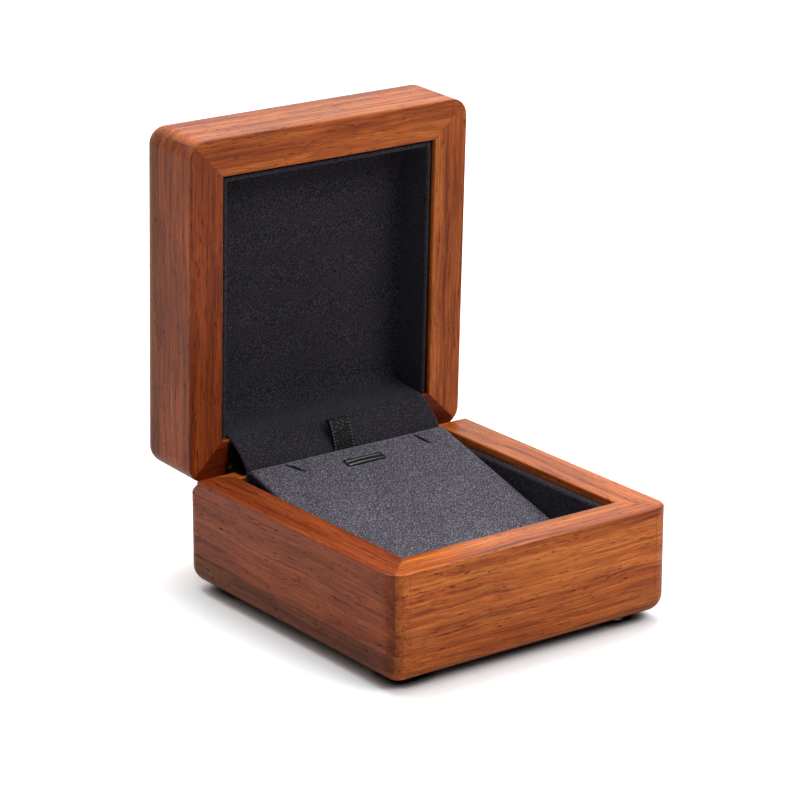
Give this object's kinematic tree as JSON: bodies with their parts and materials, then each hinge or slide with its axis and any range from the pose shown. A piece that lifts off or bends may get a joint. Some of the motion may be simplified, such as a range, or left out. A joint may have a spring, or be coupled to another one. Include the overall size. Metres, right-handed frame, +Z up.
{
  "type": "pendant box",
  "caption": "Small square wooden pendant box with a hinged lid, suede lining, and a tilted pad with a ribbon lift.",
  "frame": {"origin": "on the table, on the middle line, midway between the case's front face and the back of the open lid", "axes": "+X to the right seen from the front, +Y to the hinged back, +Z up"},
  "size_m": [0.082, 0.1048, 0.1134],
  "materials": {
    "rosewood": "satin lacquer",
    "suede": "brushed microsuede",
    "card": "dense greyboard",
    "satin_ribbon": "satin weave",
    "elastic": "glossy covered cord",
    "brass": "polished",
    "silicone": "clear"
  },
  "bodies": {
    "base": {"base_front_rail": "rosewood", "base_back_rail": "rosewood", "base_left_rail": "rosewood", "base_right_rail": "rosewood", "base_bottom_board": "rosewood", "bumper_feet": "silicone", "base_lining": "suede", "hinge_base_leaves": "brass", "hinge_base_screws": "brass", "hinge_pins": "brass", "hinge_flap": "suede"},
    "lid": {"lid_front_rail": "rosewood", "lid_back_rail": "rosewood", "lid_left_rail": "rosewood", "lid_right_rail": "rosewood", "lid_top_board": "rosewood", "lid_lining": "suede", "hinge_lid_leaves": "brass", "hinge_lid_screws": "brass"},
    "pad": {"pad_cover": "suede", "pad_card": "card", "pad_back_leg": "card", "pad_front_leg": "card", "pad_elastic": "elastic", "ribbon_tab": "satin_ribbon"}
  },
  "joints": [
    {"name": "lid_hinge", "type": "hinge", "parent": "base", "child": "lid", "pos_m": [0, 0.0314, 0.02905], "axis": [-1, 0, 0], "range_deg": [-88, 0], "deforming": ["hinge_flap", "ribbon_tab"]},
    {"name": "pad_lift", "type": "slide", "parent": "base", "child": "pad", "axis": [0, 0, 1], "range_m": [0, 0.009]}
  ]
}
